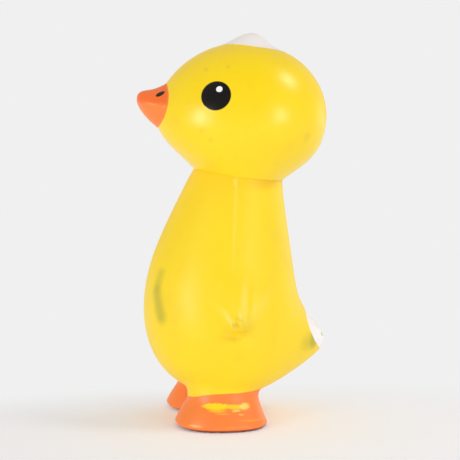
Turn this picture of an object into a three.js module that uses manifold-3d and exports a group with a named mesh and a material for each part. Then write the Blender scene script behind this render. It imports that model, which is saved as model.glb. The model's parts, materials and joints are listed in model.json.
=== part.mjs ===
// A vinyl chick figure, made of two hollow castings: the body with its feet, wings and tail, and a head
// that turns on a plug in the body's neck.
// Millimetres, +Z up. The chick faces -Y, its left side is +X, and it stands on Z = 0.

import * as THREE from 'three';
import { LoftGeometry } from 'three/addons/geometries/LoftGeometry.js';
import { mergeVertices } from 'three/addons/utils/BufferGeometryUtils.js';
import Module from 'manifold-3d';

// Walls of the castings
const bodyWall = 2.2;
const headWall = 2.2;

// Neck seam: a flat circle that leans back, so that it is higher at the throat
const neckHeight = 102.6;
const neckSetback = 2.2;
const neckLean = THREE.MathUtils.degToRad(8.4);
const neckDiameter = 37.4;
const seamGap = 0.3;

// Neck swivel: a plug under the head, through a hole in the body's flat neck top, with a bead below it
const neckTopWall = 2.6;
const headFloorWall = 2.4;
const plugDiameter = 25;
const plugWall = 2.4;
const plugClearance = 0.35;
const beadHeight = 1.4;
const beadLength = 3.2;
const beadLead = 1.1;
const beadCatch = 0.8;

// Body outline from the side: reaches are measured from the origin, runs along the outline
const groinHeight = 11.5;
const groinSetback = -4;
const groinFlat = 3;
const bellyReach = 37.5;
const bellyHeight = 45.5;
const bellyRun = 20;
const throatRun = 26;
const throatSlope = 0.5;
const rumpReach = 28.5;
const rumpHeight = 37;
const rumpRun = 12;
const napeRun = 30;
const napeSlope = 0.125;
const bellyFullness = 0.75;
const rumpFullness = 0.7;

// Body outline from the front
const bodyWidth = 64;
const haunchFullness = 0.4;
const shoulderSpread = 6.5;

// Tail: a rounded lobe at the back of the body
const tailReach = 40.4;
const tailHeight = 32.5;
const tailRise = 11.5;
const tailDrop = 13.2;
const tailNarrowness = 8;

// Feet: flared like a bell below the ankles, with a rounded lip round a flat sole
const footSpacing = 32;
const footWidth = 30;
const footLip = 1.5;
const footSquareness = 2.3;
const footTaper = 0.12;
const toeReach = 26.5;
const heelReach = 11.9;
const ankleHeight = 11.5;
const ankleSpacing = 31;
const ankleWidth = 22.6;
const ankleFront = 21.1;
const ankleBack = 8.4;
const toeDome = 1.35;
const heelDome = 0.8;
const instepDome = 1.4;
const thighHeight = 24;
const thighSpacing = 26;
const thighWidth = 26;
const thighFront = 26;
const thighBack = 16;

// Wings: folded against the flanks, flush above and proud at the tip
const wingTop = 68;
const wingBottom = 41.4;
const wingSetback = 3.5;
const wingSpread = 22;
const wingProud = 3;
const wingSink = 0.3;
const wingRoot = 5;
const wingTip = 3;
const wingCrease = 1.6;

// Skull outline from the side, measured from the centre of the neck seam along and across the seam's axis
const chinRun = 16;
const chinSlope = 0.68;
const noseReach = 37.3;
const noseHeight = 23;
const noseDrop = 11;
const noseRise = 14;
const occiputReach = 33.7;
const occiputHeight = 25.5;
const occiputDrop = 13;
const occiputRise = 15.2;
const napeOverhang = 12.5;
const overhangSlope = 0.9;
const crownHeight = 54;
const crownSetback = 0.5;
const crownFlat = 4;
const browRun = 17.7;
const crownRun = 15.7;

// Skull outline from above
const headWidth = 58;
const cheekSpread = 5;
const faceTaper = 0.1;

// Beak: a wedge with a blunt tip, and a soft ridge along each side
const beakRoot = 33.5;
const beakReach = 46.3;
const beakTipHeight = 25.6;
const beakTopHeight = 34.2;
const beakBridgeReach = 37.5;
const beakBridgeHeight = 29.8;
const beakBluntness = 4.5;
const beakBaseHeight = 13.2;
const beakChinReach = 38.5;
const beakChinHeight = 15.3;
const beakWidth = 19;
const beakTipWidth = 11;
const beakRidge = 1.7;

// Crown peak: a low cone with a rounded top
const peakSetback = -1.6;
const peakRadius = 12.4;
const peakHeight = 4.8;
const peakSink = 2;
const peakWaist = 6.2;
const peakShoulder = 2.4;
const peakRounding = 3.6;

// Fineness of the surfaces
const skinColumns = 56;
const legColumns = 32;
const wallColumns = 24;
const neckSides = 40;
const lowerRows = 10;
const upperRows = 18;
const footRows = 6;
const lipRows = 3;
const wingRows = 9;
const wingColumns = 12;
const tipRows = 4;
const beakRows = 12;
const peakRows = 7;
const wallFineness = 0.5;
const ellipsePower = 2;
const searchRounds = 30;
const weldDistance = 1e-4;
const cutMargin = 2;

const wasm = await Module();
wasm.setup();

const neckRadius = neckDiameter / 2;
const plugRadius = plugDiameter / 2;
const holeRadius = plugRadius + plugClearance;

// The place of the neck seam, and of the head, in the figure's frame
const neck = new THREE.Group();
neck.position.set(0, neckSetback, neckHeight);
neck.rotation.x = -neckLean;
neck.updateMatrix();

// A point of the side view: y runs to the back and z up.
function side(y, z) {
  return new THREE.Vector2(y, z);
}

// A point given along and across the neck seam's axis, in the figure's side view.
function sideFromNeck(y, z) {
  const point = new THREE.Vector3(0, y, z).applyMatrix4(neck.matrix);
  return side(point.y, point.z);
}

// A smooth value between two ends, pulled towards two others on the way.
function cubic(start, pullStart, pullEnd, end, t) {
  const values = [start, pullStart, pullEnd, end].map((value) => side(value, 0));
  return new THREE.CubicBezierCurve(...values).getPoint(t).x;
}

// A closed oval between two points of the side view.
// power below an ellipse's draws the oval to a ridge at each side, taper narrows it towards its first
// point, and lobe draws it out past its second point.
function oval(shape, columns) {
  const { from, to, halfWidth, middle = 0, power = ellipsePower, taper = 0, lobe = 0, lobePower = 1 } = shape;
  const centre = from.clone().lerp(to, 0.5);
  const half = to.clone().sub(centre);
  const outward = half.clone().normalize();
  const round = (value) => Math.sign(value) * Math.abs(value) ** (ellipsePower / power);
  return Array.from({ length: columns }, (_, index) => {
    const angle = (index / columns) * Math.PI * 2;
    const across = round(Math.cos(angle)) * halfWidth * (1 + taper * Math.sin(angle));
    const drawn = lobe * Math.max(Math.sin(angle), 0) ** lobePower;
    const place = centre.clone().addScaledVector(half, round(Math.sin(angle)));
    place.addScaledVector(outward, drawn);
    return new THREE.Vector3(middle + across, place.x, place.y);
  });
}

// A closed surface through ovals, from the first to the last.
function loft(ovals, columns) {
  const sections = ovals.map((shape) => oval(shape, columns));
  return new LoftGeometry(sections, { capStart: true, capEnd: true });
}

// Values from 0 to 1 in equal steps.
function steps(count) {
  return Array.from({ length: count + 1 }, (_, index) => index / count);
}

// The closed geometry with its shared vertices merged and its empty triangles left out.
function welded(geometry) {
  const bare = new THREE.BufferGeometry();
  bare.setAttribute('position', geometry.getAttribute('position').clone());
  bare.setIndex(geometry.index.clone());
  const merged = mergeVertices(bare, weldDistance);
  const corners = [];
  for (let first = 0; first < merged.index.count; first += 3) {
    const triangle = [0, 1, 2].map((corner) => merged.index.getX(first + corner));
    if (new Set(triangle).size === 3) corners.push(...triangle);
  }
  merged.setIndex(corners);
  return merged;
}

function toSolid(geometry) {
  const merged = welded(geometry);
  const vertProperties = new Float32Array(merged.getAttribute('position').array);
  const triVerts = new Uint32Array(merged.index.array);
  return new wasm.Manifold(new wasm.Mesh({ numProp: 3, vertProperties, triVerts }));
}

function toGeometry(solid) {
  const { vertProperties, triVerts } = solid.getMesh();
  const geometry = new THREE.BufferGeometry();
  geometry.setAttribute('position', new THREE.BufferAttribute(vertProperties, 3));
  geometry.setIndex(new THREE.BufferAttribute(triVerts, 1));
  geometry.computeVertexNormals();
  return geometry;
}

// The same closed surface moved inwards by a wall's thickness.
function inset(geometry, wall) {
  const inner = welded(geometry);
  inner.computeVertexNormals();
  const position = inner.getAttribute('position');
  const normal = inner.getAttribute('normal');
  const point = new THREE.Vector3();
  const outward = new THREE.Vector3();
  for (let index = 0; index < position.count; index += 1) {
    outward.fromBufferAttribute(normal, index);
    point.fromBufferAttribute(position, index).addScaledVector(outward, -wall);
    position.setXYZ(index, point.x, point.y, point.z);
  }
  return inner;
}

// A cylinder on the neck seam's axis, between two heights above the seam.
function neckCylinder(radius, low, high) {
  const geometry = new THREE.CylinderGeometry(radius, radius, high - low, neckSides);
  geometry.rotateX(Math.PI / 2);
  geometry.translate(0, 0, (low + high) / 2);
  return geometry;
}

// How far the tail draws the body out at a height.
function tailLobe(height) {
  const spread = height > tailHeight ? tailRise : tailDrop;
  return (tailReach - rumpReach) * Math.exp(-(((height - tailHeight) / spread) ** 2));
}

// The body's oval from the groin at 0 to the belly at 1.
function lowerBody(t) {
  const start = Math.asin(groinFlat / bellyReach);
  const angle = THREE.MathUtils.lerp(start, Math.PI / 2, t);
  const rise = Math.cos(angle);
  const from = side(
    groinSetback - (bellyReach + groinSetback) * Math.sin(angle) ** bellyFullness,
    bellyHeight - (bellyHeight - groinHeight) * rise,
  );
  const to = side(
    groinSetback + (rumpReach - groinSetback) * Math.sin(angle) ** rumpFullness,
    rumpHeight - (rumpHeight - groinHeight) * rise,
  );
  const halfWidth = (bodyWidth / 2) * Math.sin(angle) ** haunchFullness;
  return { from, to, halfWidth, lobe: tailLobe(to.y), lobePower: tailNarrowness };
}

// The body's oval from the belly at 0 to the neck seam at 1.
function upperBody(t) {
  const throat = sideFromNeck(-neckRadius, -seamGap / 2);
  const nape = sideFromNeck(neckRadius, -seamGap / 2);
  const front = new THREE.CubicBezierCurve(
    side(-bellyReach, bellyHeight),
    side(-bellyReach, bellyHeight + bellyRun),
    side(throat.x - throatRun * throatSlope, throat.y - throatRun),
    throat,
  );
  const back = new THREE.CubicBezierCurve(
    side(rumpReach, rumpHeight),
    side(rumpReach, rumpHeight + rumpRun),
    side(nape.x + napeRun * napeSlope, nape.y - napeRun),
    nape,
  );
  const halfWidth = cubic(bodyWidth / 2, bodyWidth / 2, neckRadius + shoulderSpread, neckRadius, t);
  const to = back.getPoint(t);
  return { from: front.getPoint(t), to, halfWidth, lobe: tailLobe(to.y), lobePower: tailNarrowness };
}

function bodySkin(columns, fineness) {
  const lower = steps(Math.round(lowerRows * fineness)).slice(0, -1).map(lowerBody);
  const upper = steps(Math.round(upperRows * fineness)).map(upperBody);
  return loft([...lower, ...upper], columns);
}

// One leg and foot, on the left (+1) or the right (-1), made smaller all round by a wall.
function leg(hand, wall, columns) {
  const ring = (height, spacing, width, front, back, power, taper) => ({
    from: side(-front + wall, height),
    to: side(back - wall, height),
    halfWidth: width / 2 - wall,
    middle: (hand * spacing) / 2,
    power,
    taper,
  });
  const lip = steps(lipRows).slice(0, -1).map((t) => {
    const angle = (t * Math.PI) / 2;
    const tuck = footLip * (1 - Math.sin(angle));
    const height = footLip * (1 - Math.cos(angle));
    const width = footWidth - 2 * tuck;
    return ring(height, footSpacing, width, toeReach - tuck, heelReach - tuck, footSquareness, footTaper);
  });
  const flare = (sole, ankle, dome, t) => THREE.MathUtils.lerp(sole, ankle, t ** dome);
  const foot = steps(footRows).slice(0, -1).map((t) => ring(
    THREE.MathUtils.lerp(Math.max(footLip, wall), ankleHeight, t),
    THREE.MathUtils.lerp(footSpacing, ankleSpacing, t),
    flare(footWidth, ankleWidth, instepDome, t),
    flare(toeReach, ankleFront, toeDome, t),
    flare(heelReach, ankleBack, heelDome, t),
    THREE.MathUtils.lerp(footSquareness, ellipsePower, t),
    THREE.MathUtils.lerp(footTaper, 0, t),
  ));
  const thigh = steps(footRows).map((t) => ring(
    cubic(ankleHeight, (ankleHeight + thighHeight) / 2, thighHeight, thighHeight, t),
    THREE.MathUtils.lerp(ankleSpacing, thighSpacing, t),
    cubic(ankleWidth, ankleWidth, ankleWidth, thighWidth, t),
    cubic(ankleFront, ankleFront, ankleFront, thighFront, t),
    cubic(ankleBack, ankleBack, ankleBack, thighBack, t),
    ellipsePower,
  ));
  return loft(wall > 0 ? [...foot, ...thigh] : [...lip, ...foot, ...thigh], columns);
}

// The share of the upper body's outline at which its middle is at a height.
function shareAtHeight(height) {
  let low = 0;
  let high = 1;
  for (let round = 0; round < searchRounds; round += 1) {
    const share = (low + high) / 2;
    const { from, to } = upperBody(share);
    if ((from.y + to.y) / 2 < height) low = share;
    else high = share;
  }
  return low;
}

// One folded wing, on the left (+1) or the right (-1): a curved flap that follows the body's own ovals
// down the flank, from a buried top to a rounded tip at the belly.
function wing(hand) {
  const section = (height, spread, proud) => {
    const { from, to, halfWidth } = upperBody(shareAtHeight(height));
    const centre = from.clone().lerp(to, 0.5);
    const half = to.clone().sub(centre);
    const halfLength = half.length();
    const middle = Math.asin(wingSetback / halfLength);
    const reach = Math.asin(spread / halfLength);
    const place = (across, offset) => {
      const angle = middle + across * reach;
      const along = Math.sin(angle) * (1 + offset / halfLength);
      const point = centre.clone().addScaledVector(half, along);
      return new THREE.Vector3(hand * Math.cos(angle) * (halfWidth + offset), point.x, point.y);
    };
    const strip = steps(wingColumns).map((t) => hand * (1 - 2 * t));
    const roof = (across) => (proud + wingSink) * (1 - Math.abs(across) ** wingCrease) - wingSink;
    const outer = strip.map((across) => place(across, roof(across)));
    const inner = strip.map((across) => place(across, -wingRoot)).reverse();
    return [...outer, ...inner];
  };
  const flap = steps(wingRows).slice(0, -1).map((t) => section(
    THREE.MathUtils.lerp(wingTop, wingBottom + wingTip, t),
    THREE.MathUtils.lerp(wingSpread, wingTip, t),
    THREE.MathUtils.lerp(-wingSink, wingProud, t),
  ));
  const tip = steps(tipRows).slice(0, -1).map((t) => {
    const angle = (t * Math.PI) / 2;
    const height = wingBottom + wingTip * (1 - Math.sin(angle));
    const proud = (wingProud + wingSink) * Math.cos(angle) - wingSink;
    return section(height, wingTip * Math.cos(angle), proud);
  });
  return new LoftGeometry([...flap, ...tip], { capStart: true, capEnd: true });
}

function makeBody() {
  let solid = toSolid(bodySkin(skinColumns, 1));
  let hollow = toSolid(inset(bodySkin(wallColumns, wallFineness), bodyWall));
  for (const hand of [1, -1]) {
    solid = solid.add(toSolid(leg(hand, 0, legColumns))).add(toSolid(wing(hand)));
    hollow = hollow.add(toSolid(leg(hand, bodyWall, wallColumns)));
  }
  const neckTop = neckCylinder(neckRadius, -seamGap / 2 - neckTopWall, cutMargin);
  const hole = neckCylinder(holeRadius, -neckTopWall - cutMargin, cutMargin);
  hollow = hollow.subtract(toSolid(neckTop.applyMatrix4(neck.matrix)));
  solid = solid.subtract(hollow).subtract(toSolid(hole.applyMatrix4(neck.matrix)));
  return toGeometry(solid);
}

// The skull's oval from the neck seam at 0 to the nose and occiput at 1, in the neck's own frame.
function lowerSkull(t) {
  const seam = seamGap / 2;
  const chin = Math.atan(chinSlope);
  const front = new THREE.CubicBezierCurve(
    side(-neckRadius, seam),
    side(-neckRadius - chinRun * Math.cos(chin), seam + chinRun * Math.sin(chin)),
    side(-noseReach, noseHeight - noseDrop),
    side(-noseReach, noseHeight),
  );
  const overhang = Math.atan(overhangSlope);
  const back = new THREE.CubicBezierCurve(
    side(neckRadius, seam),
    side(neckRadius + napeOverhang * Math.cos(overhang), seam + napeOverhang * Math.sin(overhang)),
    side(occiputReach, occiputHeight - occiputDrop),
    side(occiputReach, occiputHeight),
  );
  const halfWidth = cubic(neckRadius, neckRadius + cheekSpread, headWidth / 2, headWidth / 2, t);
  return { from: front.getPoint(t), to: back.getPoint(t), halfWidth, taper: faceTaper * t };
}

// The skull's oval from the nose and occiput at 0 to the crown at 1, in the neck's own frame.
function upperSkull(t) {
  const front = new THREE.CubicBezierCurve(
    side(-noseReach, noseHeight),
    side(-noseReach, noseHeight + noseRise),
    side(crownSetback - crownFlat - browRun, crownHeight),
    side(crownSetback - crownFlat, crownHeight),
  );
  const back = new THREE.CubicBezierCurve(
    side(occiputReach, occiputHeight),
    side(occiputReach, occiputHeight + occiputRise),
    side(crownSetback + crownFlat + crownRun, crownHeight),
    side(crownSetback + crownFlat, crownHeight),
  );
  const halfWidth = cubic(headWidth / 2, headWidth / 2, crownFlat + crownRun, crownFlat, t);
  return { from: front.getPoint(t), to: back.getPoint(t), halfWidth, taper: faceTaper };
}

function skullSkin(columns, fineness) {
  const lower = steps(Math.round(lowerRows * fineness)).slice(0, -1).map(lowerSkull);
  const upper = steps(Math.round(upperRows * fineness)).map(upperSkull);
  return loft([...lower, ...upper], columns);
}

function beak() {
  const top = new THREE.CubicBezierCurve(
    side(-beakRoot, beakTopHeight),
    side(-beakBridgeReach, beakBridgeHeight),
    side(-beakReach, beakTipHeight + beakBluntness),
    side(-beakReach, beakTipHeight),
  );
  const base = new THREE.CubicBezierCurve(
    side(-beakRoot, beakBaseHeight),
    side(-beakChinReach, beakChinHeight),
    side(-beakReach, beakTipHeight - beakBluntness),
    side(-beakReach, beakTipHeight),
  );
  const ovals = steps(beakRows).slice(0, -1).map((t) => ({
    from: base.getPoint(t),
    to: top.getPoint(t),
    halfWidth: cubic(beakWidth / 2, beakWidth / 2, beakTipWidth / 2, 0, t),
    power: beakRidge,
  }));
  return loft(ovals, wallColumns);
}

// The crown peak, turned about an axis along the neck's.
function peak() {
  const top = crownHeight + peakHeight;
  const slope = new THREE.CubicBezierCurve(
    side(peakRadius, crownHeight - peakSink),
    side(peakWaist, crownHeight + peakShoulder),
    side(peakRounding, top),
    side(0, top),
  );
  const profile = [side(0, crownHeight - peakSink), ...slope.getPoints(peakRows)];
  const geometry = new THREE.LatheGeometry(profile, neckSides);
  geometry.rotateX(Math.PI / 2);
  geometry.translate(0, peakSetback, 0);
  return geometry;
}

// The neck plug: a tube below the head's floor, with a rounded bead under the body's neck top.
function plug() {
  const bore = plugRadius - plugWall;
  const beadTop = -seamGap / 2 - neckTopWall - plugClearance;
  const beadBottom = beadTop - beadLength;
  const profile = [
    side(bore, headFloorWall),
    side(bore, beadBottom),
    side(plugRadius, beadBottom),
    side(plugRadius + beadHeight, beadBottom + beadLead),
    side(plugRadius + beadHeight, beadTop - beadCatch),
    side(plugRadius, beadTop),
    side(plugRadius, headFloorWall),
    side(bore, headFloorWall),
  ];
  const geometry = new THREE.LatheGeometry(profile, neckSides);
  geometry.rotateX(Math.PI / 2);
  return geometry;
}

function makeHead() {
  const floor = neckCylinder(headWidth / 2, -cutMargin, seamGap / 2 + headFloorWall);
  const bore = neckCylinder(plugRadius - plugWall, -cutMargin, headFloorWall + cutMargin);
  const hollow = toSolid(inset(skullSkin(wallColumns, wallFineness), headWall)).subtract(toSolid(floor));
  const solid = toSolid(skullSkin(skinColumns, 1))
    .add(toSolid(beak()))
    .add(toSolid(peak()))
    .add(toSolid(plug()))
    .subtract(hollow)
    .subtract(toSolid(bore));
  return toGeometry(solid);
}

const vinyl = new THREE.MeshStandardMaterial({ color: 0xfdd82c, roughness: 0.42, metalness: 0 });

const body = new THREE.Mesh(makeBody(), vinyl.clone());
body.name = 'body';

const head = new THREE.Mesh(makeHead(), vinyl.clone());
head.name = 'head';
neck.add(head);

const chick = new THREE.Group();
chick.add(body, neck);

export default chick;
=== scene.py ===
"""Looks of a hollow vinyl chick figure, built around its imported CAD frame."""

import json
import logging
import math
from dataclasses import dataclass
from enum import Enum
from typing import Iterable, Union

import bmesh
import bpy
from mathutils import Matrix, Vector


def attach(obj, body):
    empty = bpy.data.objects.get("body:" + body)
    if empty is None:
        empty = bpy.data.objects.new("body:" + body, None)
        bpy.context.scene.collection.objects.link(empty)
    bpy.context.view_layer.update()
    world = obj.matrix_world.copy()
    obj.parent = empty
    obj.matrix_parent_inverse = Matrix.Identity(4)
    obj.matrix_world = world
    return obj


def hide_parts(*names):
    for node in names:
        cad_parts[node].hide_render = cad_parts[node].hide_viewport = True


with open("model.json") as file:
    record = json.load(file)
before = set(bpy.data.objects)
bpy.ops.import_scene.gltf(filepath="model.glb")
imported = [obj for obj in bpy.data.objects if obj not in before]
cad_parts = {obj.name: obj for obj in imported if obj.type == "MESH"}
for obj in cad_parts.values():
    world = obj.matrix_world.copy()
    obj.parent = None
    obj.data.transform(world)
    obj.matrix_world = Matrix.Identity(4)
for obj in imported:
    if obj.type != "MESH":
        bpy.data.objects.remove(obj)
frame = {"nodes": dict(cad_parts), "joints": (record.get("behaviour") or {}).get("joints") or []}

log = logging.getLogger("chick")

Pair = tuple[float, float]
Triple = tuple[float, float, float]
Socket = bpy.types.NodeSocket
Value = Union[Socket, float]
Input = Union[Socket, float, Triple, "Tint"]
Inputs = dict[Union[int, str], Input]

MM = 0.001
UNTURNED = (0.0, 0.0, 0.0)
EVEN = (1.0, 1.0, 1.0)
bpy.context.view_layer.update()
SRGB_FULL = 255
SRGB_KNEE = 0.04045
SRGB_SLOPE = 12.92
SRGB_OFFSET = 0.055
SRGB_POWER = 2.4


def linear_light(level: float) -> float:
    """The light of an sRGB level, both from 0 to 1."""
    curve = ((level + SRGB_OFFSET) / (1 + SRGB_OFFSET)) ** SRGB_POWER
    return level / SRGB_SLOPE if level <= SRGB_KNEE else curve


def clamp(value: float) -> float:
    """A value held between 0 and 1."""
    return min(max(value, 0.0), 1.0)


def on_left(point: Vector) -> Vector:
    """A point of either flank, brought to the left one."""
    return Vector((abs(point.x), point.y, point.z))


class Tint(Enum):
    """Colours of the vinyl, the paints, the marks, the painted shade and highlights, and the studio, as
    sRGB levels.
    """

    YELLOW = (254, 219, 10)
    DEEP_YELLOW = (252, 213, 6)
    # Painted shade: darker yellows for the neck under the head's overhang and for the body under the wing
    # tip.
    NECK_SHADE_YELLOW = (254, 213, 6)
    SHADE_YELLOW = (246, 194, 0)
    # Painted highlights on the wing and mould-line ridges and on bare places of the feet.
    PALE_YELLOW = (255, 230, 104)
    ORANGE = (254, 138, 58)
    DEEP_ORANGE = (252, 128, 48)
    # Painted shade: a darker, redder orange for the top half of the beak.
    SHADED_ORANGE = (255, 115, 42)
    WHITE = (248, 243, 242)
    BLACK = (24, 24, 24)
    GLINT = (246, 246, 248)
    STAIN = (178, 170, 38)
    SOIL = (190, 160, 50)
    # Painted contact shade, mixed with dirt, along the bottom of the feet.
    SOLE_SHADE_AND_GRIME = (142, 56, 22)
    FLOOR = (243, 242, 246)
    BACKDROP = (240, 240, 240)
    MIRRORED = (255, 236, 205)
    LIGHT = (255, 255, 255)

    @property
    def rgba(self) -> tuple[float, float, float, float]:
        """The colour in linear light, with full alpha."""
        red, green, blue = (linear_light(level / SRGB_FULL) for level in self.value)
        return (red, green, blue, 1.0)


class Side(Enum):
    """Which flanks of the figure a paint or a mark is on."""

    LEFT = "left"
    BOTH = "both"


@dataclass(frozen=True)
class Spot:
    """An ellipsoid of space around a paint, a mark or a guarded form, in millimetres."""

    centre: Triple
    radii: Triple
    along: Triple = (0.0, 0.0, 1.0)

    @property
    def turn(self) -> Matrix:
        """The rotation that lays the third radius along the spot's direction."""
        return Vector(self.along).to_track_quat("Z", "Y").to_matrix()

    def share(self, point: Vector) -> float:
        """How far out of the spot a point in metres lies: 0 at its centre, 1 on its skin, more outside."""
        local = self.turn.transposed() @ (point / MM - Vector(self.centre))
        return Vector([local[axis] / self.radii[axis] for axis in range(3)]).length


@dataclass(frozen=True)
class Streak:
    """A round-ended length of space around a paint or a mark, in millimetres."""

    start: Triple
    end: Triple
    radius: float


@dataclass(frozen=True)
class Mark:
    """A soft mark on the vinyl, such as stains, a rubbed place, a smear, painted shade or a painted
    highlight.

    Its softness is half the width of its edge, as a share of its size. A ragged mark's edge is shifted by
    clouds of the grain's size in millimetres, and brushed says how much longer they are from front to back.
    """

    shape: Union[Spot, Streak]
    tint: Tint
    strength: float
    softness: float
    ragged: float = 0.0
    grain: float = 2.2
    brushed: float = 1.0
    side: Side = Side.LEFT


@dataclass(frozen=True)
class Stroke:
    """A low ridge or groove along both flanks, in millimetres. Its places are from front to back and up."""

    start: Pair
    end: Pair
    heights: Pair
    radii: Pair

    def height(self, place: Vector) -> float:
        """How far the stroke raises a place.

        Args:
            place: The place, from front to back and up.

        Returns:
            The height, below 0 in a groove.
        """
        start = Vector(self.start)
        along = Vector(self.end) - start
        share = 1.0
        if along.length > 0:
            share = clamp((place - start).dot(along) / along.length_squared)
        radius = self.radii[0] + (self.radii[1] - self.radii[0]) * share
        height = self.heights[0] + (self.heights[1] - self.heights[0]) * share
        across = (place - start - along * share).length / radius
        return height * math.exp(-(across**2))


class Blend(Enum):
    """Kinds of Mix node: its inputs for the share and the two values, and its output."""

    FLOAT = ((0, 2, 3), 0)
    RGBA = ((0, 6, 7), 2)


class NodeGraph:
    """The node tree of a material or of the world, with short ways to add to it."""

    def __init__(self, owner: Union[bpy.types.Material, bpy.types.World]) -> None:
        """Starts with an empty tree.

        Args:
            owner: The material or the world.
        """
        owner.use_nodes = True
        self.tree = owner.node_tree
        self.tree.nodes.clear()

    def feed(self, socket: Socket, value: Input) -> None:
        """Links an input to another node, or sets its value.

        Args:
            socket: The input.
            value: Another node's output, a number, a place or a colour.
        """
        if isinstance(value, bpy.types.NodeSocket):
            self.tree.links.new(value, socket)
        else:
            socket.default_value = value.rgba if isinstance(value, Tint) else value

    def node(self, kind: str, inputs: Union[Inputs, None] = None, **settings: str) -> bpy.types.Node:
        """A new node.

        Args:
            kind: The kind of node.
            inputs: What some of its inputs are fed, by their names or numbers.
            settings: Its settings, such as its operation.

        Returns:
            The node.
        """
        node = self.tree.nodes.new(kind)
        for name, setting in settings.items():
            setattr(node, name, setting)
        for key, value in (inputs or {}).items():
            self.feed(node.inputs[key], value)
        return node

    def result(self, kind: str, inputs: Inputs, **settings: str) -> Socket:
        """The first output of a new node."""
        return self.node(kind, inputs, **settings).outputs[0]

    def math(self, operation: str, first: Value, second: Value = 0.0) -> Socket:
        """The result of a Math node's operation on one or two values."""
        return self.result("ShaderNodeMath", {0: first, 1: second}, operation=operation)

    def total(self, first: Value, *others: Value) -> Socket:
        """The sum of some values.

        Args:
            first: The first value.
            others: The values that are added to it.

        Returns:
            The sum.
        """
        for other in others:
            first = self.math("ADD", first, other)
        return first

    def vector(self, operation: str, first: Input, second: Union[Input, None] = None) -> Socket:
        """The result of a Vector Math node.

        Args:
            operation: The node's operation.
            first: Its first input.
            second: Its second input or its scale, if it has one.

        Returns:
            The result, a vector or a number.
        """
        node = self.node("ShaderNodeVectorMath", {0: first}, operation=operation)
        if second is not None:
            self.feed(node.inputs["Scale" if operation == "SCALE" else 1], second)
        return node.outputs["Value" if operation in ("LENGTH", "DOT_PRODUCT") else "Vector"]

    def split(self, place: Socket) -> tuple[Socket, Socket, Socket]:
        """The X, Y and Z of a place."""
        return tuple(self.node("ShaderNodeSeparateXYZ", {0: place}).outputs)

    def ramp(self, value: Value, start: Pair, end: Pair, smooth: bool = True) -> Socket:
        """A slope from one level to another, which is level before and after.

        Args:
            value: What is measured.
            start: The value where the slope starts, and the level there.
            end: The value where it ends, and the level there.
            smooth: Whether it eases in and out.

        Returns:
            The level.
        """
        limits = zip(("From Min", "To Min", "From Max", "To Max"), (*start, *end))
        easing = "SMOOTHSTEP" if smooth else "LINEAR"
        inputs = {"Value": value, **dict(limits)}
        return self.result("ShaderNodeMapRange", inputs, interpolation_type=easing)

    def fade(self, value: Value, full: float, none: float) -> Socket:
        """A smooth step between two values: 1 at the full one, 0 at the other."""
        start, end = sorted(((full, 1.0), (none, 0.0)))
        return self.ramp(value, start, end)

    def below(self, value: Value, limit: float, soft: float) -> Socket:
        """1 where a value is below a limit, 0 above it, with a soft edge."""
        return self.fade(value, limit - soft, limit + soft)

    def above(self, value: Value, limit: float, soft: float) -> Socket:
        """1 where a value is above a limit, 0 below it, with a soft edge."""
        return self.fade(value, limit + soft, limit - soft)

    def out_of(self, place: Socket, centre: Triple, radii: Triple, turn: Triple = UNTURNED) -> Socket:
        """How far out of an ellipsoid a place lies.

        Args:
            place: The place.
            centre: The ellipsoid's centre.
            radii: Its three radii.
            turn: Its rotation.

        Returns:
            0 at the centre, 1 on the skin, more outside.
        """
        inputs = {"Vector": place, "Location": centre, "Rotation": turn, "Scale": radii}
        inside = self.result("ShaderNodeMapping", inputs, vector_type="TEXTURE")
        return self.vector("LENGTH", inside)

    def mix_shader(self, share: Socket, under: Socket, over: Socket) -> Socket:
        """A surface between two others."""
        return self.result("ShaderNodeMixShader", {0: share, 1: under, 2: over})

    def show(self, kind: str, surface: Socket) -> None:
        """Links a surface to a new output node of a kind."""
        self.node(kind, {"Surface": surface})


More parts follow.
